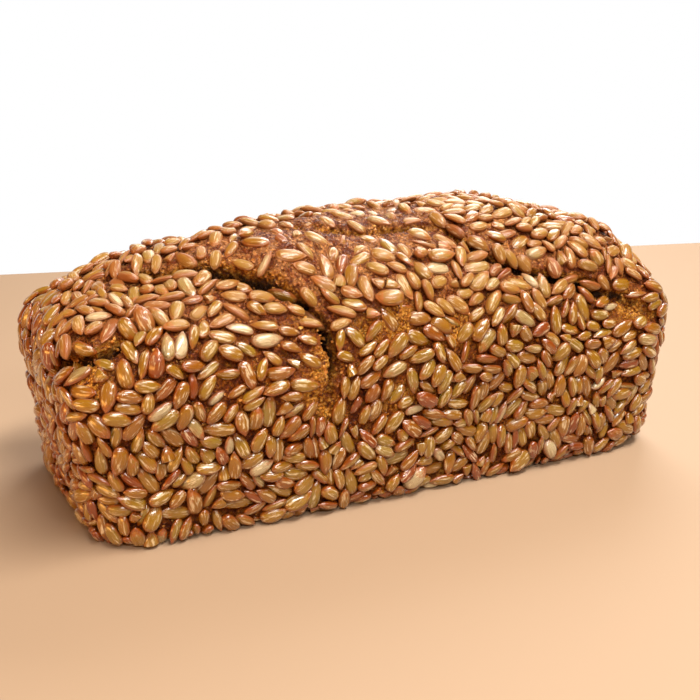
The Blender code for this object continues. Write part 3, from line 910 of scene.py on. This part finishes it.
bare_there = smooth_step((0.75 - cover(crust_plain)) / 0.4)
crumb_there = crumbly(crust_plain)
open_there = np.maximum(0.5 * bare_there, 0.8 * crumb_there)
roughness = np.maximum(np.minimum(1.6 * crust_torn, 1), open_there)
lift = np.array([crumble(point, rough) for point, rough in zip(crust_points, roughness)])
sunk = CRUST_SINKS * (1 - 0.75 * bareness(crust_plain))
sunk = sunk * (1 - 0.55 * on_crown(crust_plain))
crust_points = crust_points + crust_out * (lift - sunk)[:, None]
crust_points[:, 2] = np.maximum(crust_points[:, 2], 0.0006 + 0.4 * np.abs(lift))
crust_data.vertices.foreach_set("co", crust_points.ravel())
for name, values in (("torn", crust_torn), ("crumbly", crumb_there), ("pit", lift * 1000)):
    crust_data.attributes.new(name, "FLOAT", "POINT").data.foreach_set("value", values)
crust_data.polygons.foreach_set("use_smooth", [True] * len(crust_data.polygons))
crust = bpy.data.objects.new("crust", crust_data)
bpy.context.collection.objects.link(crust)
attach(crust, "root")
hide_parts("loaf")
crust_data.update()
print("crust points:", len(crust_data.vertices), "deepest pit: %.1f mm" % (-1000 * lift.min()))

# %% [markdown]
# ## Short words for shader nodes
# A material is a net of nodes, and each node takes a few lines to add, set and connect. Written out
# in full, they would hide what the colours do. So `Finish` has a short word for each kind that this
# lesson uses: `noise` and `cells` for patterns, `spread` for a soft step from one value to another,
# `ramp` and `mix` for colours, and `bumps` for relief too fine for the mesh.

# %% Short words for nodes
class Finish:
    """A material, and short words for the nodes in it."""

    def __init__(self, name):
        self.material = bpy.data.materials.new(name)
        self.material.use_nodes = True
        self.nodes = self.material.node_tree.nodes
        self.links = self.material.node_tree.links
        self.shader = self.nodes["Principled BSDF"]

    def add(self, kind, **settings):
        node = self.nodes.new(kind)
        for key, value in settings.items():
            setattr(node, key, value)
        return node

    def feed(self, socket, value):
        if hasattr(value, "links"):
            self.links.new(value, socket)
        else:
            socket.default_value = value

    def number(self, name):
        return self.add("ShaderNodeAttribute", attribute_name=name).outputs["Fac"]

    def place(self, name):
        return self.add("ShaderNodeAttribute", attribute_name=name).outputs["Vector"]

    def stretch(self, vector, scale):
        node = self.add("ShaderNodeMapping")
        self.feed(node.inputs["Vector"], vector)
        node.inputs["Scale"].default_value = scale
        return node.outputs["Vector"]

    def noise(self, vector, scale, detail=3.0, rough=0.55):
        node = self.add("ShaderNodeTexNoise")
        self.feed(node.inputs["Vector"], vector)
        node.inputs["Scale"].default_value = scale
        node.inputs["Detail"].default_value = detail
        node.inputs["Roughness"].default_value = rough
        return node.outputs["Fac"]

    def cells(self, vector, scale):
        node = self.add("ShaderNodeTexVoronoi")
        self.feed(node.inputs["Vector"], vector)
        node.inputs["Scale"].default_value = scale
        return node.outputs["Distance"]

    def maths(self, job, a, b):
        node = self.add("ShaderNodeMath", operation=job)
        self.feed(node.inputs[0], a)
        self.feed(node.inputs[1], b)
        return node.outputs[0]

    def spread(self, value, low, high, to_low=0.0, to_high=1.0):
        node = self.add("ShaderNodeMapRange", interpolation_type="SMOOTHSTEP")
        for key, given in (("Value", value), ("From Min", low), ("From Max", high),
                           ("To Min", to_low), ("To Max", to_high)):
            self.feed(node.inputs[key], given)
        return node.outputs["Result"]

    def ramp(self, value, stops):
        node = self.add("ShaderNodeValToRGB")
        self.feed(node.inputs["Fac"], value)
        while len(node.color_ramp.elements) < len(stops):
            node.color_ramp.elements.new(0.5)
        for element, (at, colour) in zip(node.color_ramp.elements, stops):
            element.position = at
            element.color = (*colour, 1)
        return node.outputs["Color"]

    def mix(self, share, a, b):
        node = self.add("ShaderNodeMix", data_type="RGBA")
        self.feed(node.inputs[0], share)
        self.feed(node.inputs[6], a)
        self.feed(node.inputs[7], b)
        return node.outputs[2]

    def bumps(self, *layers):
        normal = None
        for height, strength, distance in layers:
            node = self.add("ShaderNodeBump")
            node.inputs["Strength"].default_value = strength
            node.inputs["Distance"].default_value = distance
            self.feed(node.inputs["Height"], height)
            if normal is not None:
                self.links.new(normal, node.inputs["Normal"])
            normal = node.outputs["Normal"]
        self.links.new(normal, self.shader.inputs["Normal"])

    def set(self, socket, value):
        self.feed(self.shader.inputs[socket], value)


print("short words:", [word for word in vars(Finish) if not word.startswith("_")])

# %% [markdown]
# ## Baked crust
# Rye crust is rust-brown and nearly matt. On top it is paler and more orange, partly its own colour
# and partly a painted sheen of the light from above. Pale specks on its grit are painted glints.
# Painted shade darkens the gaps between its grains and its pits, and a painted shadow fills the
# depths of the cracks. Where the crumb lies open it is golden, with small glints as if it were wet.
# A painted picture would blur close up, so noises at three sizes give the colours, steered by
# numbers that the mesh carries: `torn`, `crumbly` and `pit`.

# %% Crust finish
TOP_RUST, TOP_ORANGE_AND_SHEEN = (0.27, 0.048, 0.003, 1), (0.90, 0.38, 0.12, 1)
PAINTED_GLINT, SCORCHED = (0.86, 0.46, 0.20, 1), (0.15, 0.022, 0.002, 1)
# Painted shade between grains and in pits, and a painted shadow deep in the cracks.
PAINTED_SHADE_BETWEEN_GRAINS, PAINTED_SHADE_IN_PITS, PAINTED_SHADOW_IN_CRACKS = (
    (0.100, 0.015, 0.001, 1), (0.040, 0.010, 0.001, 1), (0.022, 0.005, 0.001, 1),
)

baked = Finish("baked_crust")
where = baked.add("ShaderNodeTexCoord").outputs["Object"]
broad = baked.noise(where, 60, 3)
middle = baked.noise(where, 300, 4, 0.65)
grit = baked.noise(where, 1000, 3, 0.7)
grains = baked.cells(where, 800)
skin_tone = baked.maths("ADD", middle, baked.spread(grit, 0.3, 0.7, -0.10, 0.10))
skin = baked.ramp(skin_tone, (
    (0.30, (0.080, 0.010, 0.001)), (0.44, (0.260, 0.046, 0.003)),
    (0.56, (0.480, 0.120, 0.007)), (0.70, (0.700, 0.260, 0.028)),
))
height_up = baked.add("ShaderNodeSeparateXYZ")
baked.feed(height_up.inputs[0], where)
on_top = baked.spread(height_up.outputs["Z"], 0.060, 0.088)
# Paler and more orange on top: partly the crust's own colour, partly a painted sheen of the light from
# above.
top_skin = baked.mix(baked.spread(middle, 0.42, 0.58), TOP_RUST, TOP_ORANGE_AND_SHEEN)
skin = baked.mix(baked.maths("MULTIPLY", on_top, 0.82), skin, top_skin)
# Pale specks on the grit are painted glints, as if single grains caught the light.
skin = baked.mix(baked.spread(grit, 0.58, 0.72, 0.0, 0.55), skin, PAINTED_GLINT)
skin = baked.mix(baked.spread(broad, 0.42, 0.62, 0.0, 0.30), skin, SCORCHED)
# Painted shade in the gaps between grains, where the bumps sink the surface.
skin = baked.mix(baked.spread(grains, 0.30, 0.62, 0.0, 0.55), skin, PAINTED_SHADE_BETWEEN_GRAINS)

# The crumb's tone is darker at the edges of its grains: painted shade in the gaps.
crumb_tone_and_shade = baked.maths(
    "ADD", baked.noise(where, 420, 4, 0.7), baked.spread(grains, 0.0, 0.6, 0.08, -0.14))
crumb = baked.ramp(crumb_tone_and_shade, (
    (0.26, (0.150, 0.025, 0.001)), (0.38, (0.56, 0.180, 0.010)), (0.52, (0.92, 0.44, 0.070)),
))
torn = baked.number("torn")
open_crumb = baked.maths("MAXIMUM", baked.spread(torn, 0.05, 0.20, 0.0, 0.8), baked.number("crumbly"))
skin = baked.mix(open_crumb, skin, crumb)
# Painted shade in the pits: darker the deeper the mesh sinks there.
skin = baked.mix(baked.spread(baked.number("pit"), -0.30, -1.2), skin, PAINTED_SHADE_IN_PITS)
# Deep in the cracks the colour goes nearly black: a painted shadow, with a ragged edge.
ragged = baked.maths("ADD", torn, baked.spread(middle, 0.3, 0.7, -0.12, 0.12))
skin = baked.mix(baked.spread(ragged, 0.22, 0.48, 0.0, 0.95), skin, PAINTED_SHADOW_IN_CRACKS)
baked.set("Base Color", skin)
baked.set("Roughness", baked.spread(grit, 0.46, 0.58, 0.75, 0.16))
baked.set("Specular IOR Level", 0.30)
baked.bumps((middle, 1.0, 0.0030), (grains, 1.0, -0.0026), (grit, 1.0, 0.0018))
crust_data.materials.append(baked.material)
print("crust nodes:", len(baked.nodes))

# %% [markdown]
# ## Toasted kernels
# A kernel is tan to olive-gold, toasted orange towards its tip, with pale streaks along it that are
# partly its own colour and partly a painted sheen. A faint dark line in the groove round its rim is
# painted shade, and its lower side, where it goes into the crust, is brown from toasted edges and
# painted shade. Fat from the seed leaves a thin gloss where the tin held it, and less on the crown,
# where a pale bloom is mixed in that is partly dryness and partly a painted sheen. One flat colour
# would look like plastic. So every kernel carries its own tone, toast and gloss as numbers on its
# points, and a place along its own length, so that the streaks follow each one however it lies.

# %% Kernel finish
STREAK_AND_PAINTED_SHEEN, DARK_LINE = (0.84, 0.69, 0.43, 1), (0.20, 0.048, 0.003, 1)
TOASTED_TIP, PAINTED_RIM_GROOVE_SHADE = (0.36, 0.085, 0.007, 1), (0.24, 0.065, 0.006, 1)
TOAST_AND_SHADE_NEAR_CRUST, DRY_BLOOM_AND_SHEEN = (0.22, 0.036, 0.0015, 1), (0.52, 0.26, 0.09, 1)

toasted = Finish("toasted_kernel")
grain = toasted.place("grain")
streaks = toasted.noise(toasted.stretch(grain, (0.16, 1.0, 1.0)), 1.15, 4, 0.6)
fine_streaks = toasted.noise(toasted.stretch(grain, (0.12, 1.0, 1.0)), 4.5, 3, 0.6)
blotch = toasted.noise(grain, 0.55, 2, 0.5)
# The palest stop, at tone 1, is for the few silvery kernels: their near-white is partly a painted
# reflection.
body = toasted.ramp(toasted.number("tone"), (
    (0.00, (0.190, 0.026, 0.001)), (0.12, (0.255, 0.058, 0.001)), (0.36, (0.260, 0.098, 0.003)),
    (0.62, (0.290, 0.144, 0.008)), (0.84, (0.255, 0.148, 0.014)), (1.00, (0.480, 0.375, 0.205)),
))
# Pale streaks along the kernel: partly its own colour, partly a painted sheen.
body = toasted.mix(toasted.spread(streaks, 0.53, 0.64, 0.0, 0.64), body, STREAK_AND_PAINTED_SHEEN)
body = toasted.mix(toasted.spread(fine_streaks, 0.50, 0.34, 0.0, 0.55), body, DARK_LINE)
up_to_tip = toasted.maths("ADD", toasted.number("tip"), toasted.spread(blotch, 0.3, 0.7, -0.4, 0.4))
burnt = toasted.maths("MULTIPLY", toasted.spread(up_to_tip, 0.25, 1.05), toasted.number("toast"))
body = toasted.mix(burnt, body, TOASTED_TIP)
rim = toasted.number("rim")
rim_line = toasted.maths("MULTIPLY", toasted.spread(rim, 0.76, 0.86), toasted.spread(rim, 0.96, 0.86))
# A faint dark line in the groove round the rim: painted shade of the groove.
body = toasted.mix(toasted.maths("MULTIPLY", rim_line, 0.18), body, PAINTED_RIM_GROOVE_SHADE)
# The lower side, where the kernel goes into the crust, is darker: partly toasted edges, partly painted
# shade.
body = toasted.mix(toasted.spread(toasted.number("deep"), 0.80, 0.10, 0.0, 0.86), body, TOAST_AND_SHADE_NEAR_CRUST)
gloss_here = toasted.number("gloss")
# Where the gloss is low, mostly on the crown, a pale bloom is mixed in: partly drier kernels, partly a
# painted sheen of the light from above.
dry_bloom_and_sheen = toasted.maths("MULTIPLY", toasted.spread(gloss_here, 0.7, 0.2), 0.22)
body = toasted.mix(dry_bloom_and_sheen, body, DRY_BLOOM_AND_SHEEN)
dull = toasted.spread(streaks, 0.3, 0.7, 0.40, 0.52)
toasted.set("Base Color", body)
toasted.set("Roughness", toasted.maths("SUBTRACT", dull, toasted.maths("MULTIPLY", gloss_here, 0.22)))
toasted.set("Specular IOR Level", 0.40)
toasted.set("Coat Weight", gloss_here)
toasted.set("Coat IOR", 1.62)
toasted.set("Coat Roughness", 0.11)
toasted.bumps((rim_line, 0.5, -0.0003), (streaks, 0.45, 0.0008), (fine_streaks, 0.1, 0.0002))
print("kernel nodes:", len(toasted.nodes))

# %% [markdown]
# ## A tone for each kernel
# Kernels come from many flower heads and bake unevenly, so no two have quite the same colour. A
# random number in the material would do for a colour, but it is lost on export. Here every kernel
# draws its numbers once: most near the middle tone, a few dark, and a few almost white and silvery,
# whose whiteness is partly a painted reflection.

# %% Tones
DARK_SHARE, DARK_TONE, SILVERY_SHEEN_SHARE, SILVERY_SHEEN_TONE = 0.06, 0.04, 0.03, 1.0
GRAIN_APART = 500

tone = bell(0.55, 0.17, 0.1, 0.9)
tone[numbers.random(count) < DARK_SHARE] = DARK_TONE
tone[numbers.random(count) < SILVERY_SHEEN_SHARE] = SILVERY_SHEEN_TONE
toast = np.clip(numbers.normal(0.40, 0.28, count) + 0.15 * loose, 0, 1)
gloss = np.clip(0.92 - 0.72 * loose + numbers.normal(0, 0.18, count), 0, 1)
grain_place = shape * 1000 + numbers.uniform(-GRAIN_APART, GRAIN_APART, (count, 1, 3))
print("dark kernels:", int((tone == DARK_TONE).sum()), "white ones:", int((tone == SILVERY_SHEEN_TONE).sum()))

# %% [markdown]
# ## Joining the kernels into a few pieces
# Two thousand objects would be slow to handle, and instances are lost on export, so the kernels of
# each side of the loaf become one mesh. The numbers that the kernel finish reads are written on its
# points: tone, toast and gloss for each kernel, and tip, rim and deep for each point of one.

# %% Kernel pieces
def write_numbers(data, name, values):
    data.attributes.new(name, "FLOAT", "POINT").data.foreach_set("value", values)


def kernel_piece(name, chosen):
    own = np.flatnonzero(chosen)
    each = len(sphere_points)
    faces = [[corner + n * each for corner in face] for n in range(len(own)) for face in sphere_faces]
    data = bpy.data.meshes.new(name)
    data.from_pydata(points[own].reshape(-1, 3).tolist(), [], faces)
    for key, value in (("tone", tone), ("toast", toast), ("gloss", gloss)):
        write_numbers(data, key, np.repeat(value[own], each))
    rims = np.hypot(sphere_points[:, 0], sphere_points[:, 1])
    for key, value in (("tip", sphere_points[:, 0]), ("rim", rims), ("deep", sphere_points[:, 2])):
        write_numbers(data, key, np.tile(value, len(own)))
    grain_values = data.attributes.new("grain", "FLOAT_VECTOR", "POINT")
    grain_values.data.foreach_set("vector", grain_place[own].ravel())
    data.polygons.foreach_set("use_smooth", [True] * len(data.polygons))
    data.materials.append(toasted.material)
    piece = bpy.data.objects.new(name, data)
    bpy.context.collection.objects.link(piece)
    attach(piece, "root")
    triangles = len(own) * sum(len(face) - 2 for face in sphere_faces)
    print(name, "kernels:", len(own), "triangles:", triangles)


facing_out = crust_normals(plain)
is_base = facing_out[:, 2] < -0.6
is_crown = facing_out[:, 2] > 0.45
is_wall = ~is_base & ~is_crown
is_end = is_wall & (np.abs(facing_out[:, 0]) > np.abs(facing_out[:, 1]))
is_front = is_wall & ~is_end & (plain[:, 1] < 0)
is_back = is_wall & ~is_end & (plain[:, 1] >= 0)
for name, chosen in (("kernels_on_front", is_front), ("kernels_on_back", is_back),
                     ("kernels_on_ends", is_end), ("kernels_on_crown", is_crown),
                     ("kernels_under_base", is_base)):
    kernel_piece(name, chosen)

# %% [markdown]
# ## Crumbs
# Where the crust tore, and in its bare patches, small crumbs and chips of kernel stand loose. A
# particle system would scatter them, but what it scatters is lost on export. So tiny angular lumps
# are made from one rough ball, more of them where the crust is torn or bare, and joined in a mesh.

# %% Loose crumbs
CRUMB_TRIES, CRUMBS_FROM = 40000, 0.003
ANYWHERE, WHERE_TORN, WHERE_BARE = 0.10, 0.9, 1.3

ball = bmesh.new()
bmesh.ops.create_icosphere(ball, subdivisions=1, radius=1)
ball_points = np.array([v.co for v in ball.verts])
ball_faces = np.array([[v.index for v in face.verts] for face in ball.faces])
ball.free()

crumb_plain = pull_to_crust(scatter_on_block(CRUMB_TRIES))
crumb_plain = crumb_plain[crumb_plain[:, 2] > CRUMBS_FROM]
crumb_places, crumb_torn = finish(crumb_plain)
wanted = ANYWHERE + WHERE_TORN * crumb_torn + WHERE_BARE * np.maximum(0.85 - cover(crumb_plain), 0)
stays = numbers.random(len(crumb_plain)) < wanted
crumb_plain, crumb_places = crumb_plain[stays], crumb_places[stays]
crumb_out = finished_normals(crumb_plain)
crumb_count = len(crumb_plain)
size = np.clip(numbers.lognormal(-0.80, 0.35, crumb_count), 0.2, 0.95) / 1000
lumps = ball_points[None] * (1 + numbers.uniform(-0.35, 0.35, (crumb_count, len(ball_points), 1)))
lumps = lumps * numbers.uniform(0.6, 1.2, (crumb_count, 1, 3)) * size[:, None, None]
crumb_centres = crumb_places - crumb_out * (CRUST_SINKS - 0.2 * size)[:, None]
crumb_points = (crumb_centres[:, None] + lumps).reshape(-1, 3)
crumb_points = np.clip(crumb_points, box_low + KEEP_INSIDE, box_high - KEEP_INSIDE)
first_corners = len(ball_points) * np.arange(crumb_count)
crumb_faces = (ball_faces[None] + first_corners[:, None, None]).reshape(-1, 3)
crumb_data = bpy.data.meshes.new("crumbs")
crumb_data.from_pydata(crumb_points.tolist(), [], crumb_faces.tolist())
crumbs = bpy.data.objects.new("crumbs", crumb_data)
bpy.context.collection.objects.link(crumbs)
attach(crumbs, "root")
print("crumbs:", crumb_count, "triangles:", len(crumb_data.polygons))

# %% [markdown]
# ## Crumb colours
# A crumb is as golden as the open crumb around it, some darker and some drier. The crust's own
# finish would be too dark for them, so they have a small one: a noise a few millimetres wide, so
# that each crumb takes a colour of its own.

# %% Crumb finish
loose_crumb = Finish("loose_crumb")
where = loose_crumb.add("ShaderNodeTexCoord").outputs["Object"]
loose_crumb.set("Base Color", loose_crumb.ramp(loose_crumb.noise(where, 330, 2, 0.6), (
    (0.34, (0.20, 0.045, 0.004)), (0.50, (0.48, 0.160, 0.018)), (0.66, (0.72, 0.36, 0.08)),
)))
loose_crumb.set("Roughness", loose_crumb.spread(loose_crumb.noise(where, 800, 2), 0.4, 0.6, 0.18, 0.70))
loose_crumb.bumps((loose_crumb.noise(where, 2600, 2), 0.4, 0.0002))
crumb_data.materials.append(loose_crumb.material)
print("crumb nodes:", len(loose_crumb.nodes))

# %% [markdown]
# ## The size
# The dressed loaf must fit in the solid's box, which is why the kernels and crumbs above are kept
# inside it.
